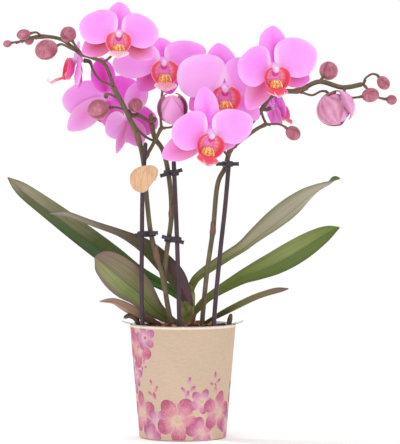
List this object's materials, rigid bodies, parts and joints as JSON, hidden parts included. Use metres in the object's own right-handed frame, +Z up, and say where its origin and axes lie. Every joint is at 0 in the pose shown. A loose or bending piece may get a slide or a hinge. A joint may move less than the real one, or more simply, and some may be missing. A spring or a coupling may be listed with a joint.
{
  "type": "potted moth orchid",
  "caption": "Moth orchid with arching flower spikes, staked stems and strap leaves, rooted in bark in a clear grow pot inside a tapered printed kraft paper cover pot.",
  "frame": {"origin": "centre of the paper pot's flat underside", "axes": "+Z up along the pot's axis; -Y is the side the picture shows, +X to its right"},
  "size_m": [0.3546, 0.1235, 0.3903],
  "materials": {
    "kraft_paper": "matt uncoated kraft paper with a soft pink floral print",
    "clear_plastic": "clear thin plastic",
    "bark": "rough red-brown bark chips",
    "crown": "olive leaf bases with dry brown sheaths and roots",
    "leaf": "thick waxy leaf, green above, taupe below",
    "stake": "dark aubergine plastic",
    "clip": "dark plastic",
    "tag_wood": "bare pale wood",
    "stem": "olive-brown stem",
    "petal": "soft petal, pale orchid pink with deeper veins",
    "lip": "coral red lip with an orange callus",
    "bud": "dusty rose bud with a soft gloss"
  },
  "bodies": {
    "root": {"paper_pot": "kraft_paper", "grow_pot": "clear_plastic", "bark": "bark", "crown": "crown", "leaf_1": "leaf", "leaf_2": "leaf", "leaf_3": "leaf", "leaf_4": "leaf", "leaf_5": "leaf", "leaf_6": "leaf", "leaf_7": "leaf", "stake_1": "stake", "stake_2": "stake", "stake_3": "stake", "clip_1": "clip", "clip_2": "clip", "clip_3": "clip", "clip_4": "clip", "clip_5": "clip", "tag": "tag_wood", "spike_1": "stem", "spike_2": "stem", "spike_3": "stem", "bloom_1": "petal", "bloom_2": "petal", "bloom_3": "petal", "bloom_4": "petal", "bloom_5": "petal", "bloom_6": "petal", "bloom_7": "petal", "bloom_8": "petal", "bloom_9": "petal", "lip_1": "lip", "lip_2": "lip", "lip_3": "lip", "lip_4": "lip", "lip_5": "lip", "lip_6": "lip", "lip_7": "lip", "lip_8": "lip", "lip_9": "lip", "bud_1": "bud", "bud_2": "bud", "bud_3": "bud", "bud_4": "bud", "bud_5": "bud", "bud_6": "bud", "bud_7": "bud", "bud_8": "bud", "bud_9": "bud", "bud_10": "bud", "bud_11": "bud", "bud_12": "bud", "bud_13": "bud", "bud_14": "bud"}
  },
  "joints": []
}
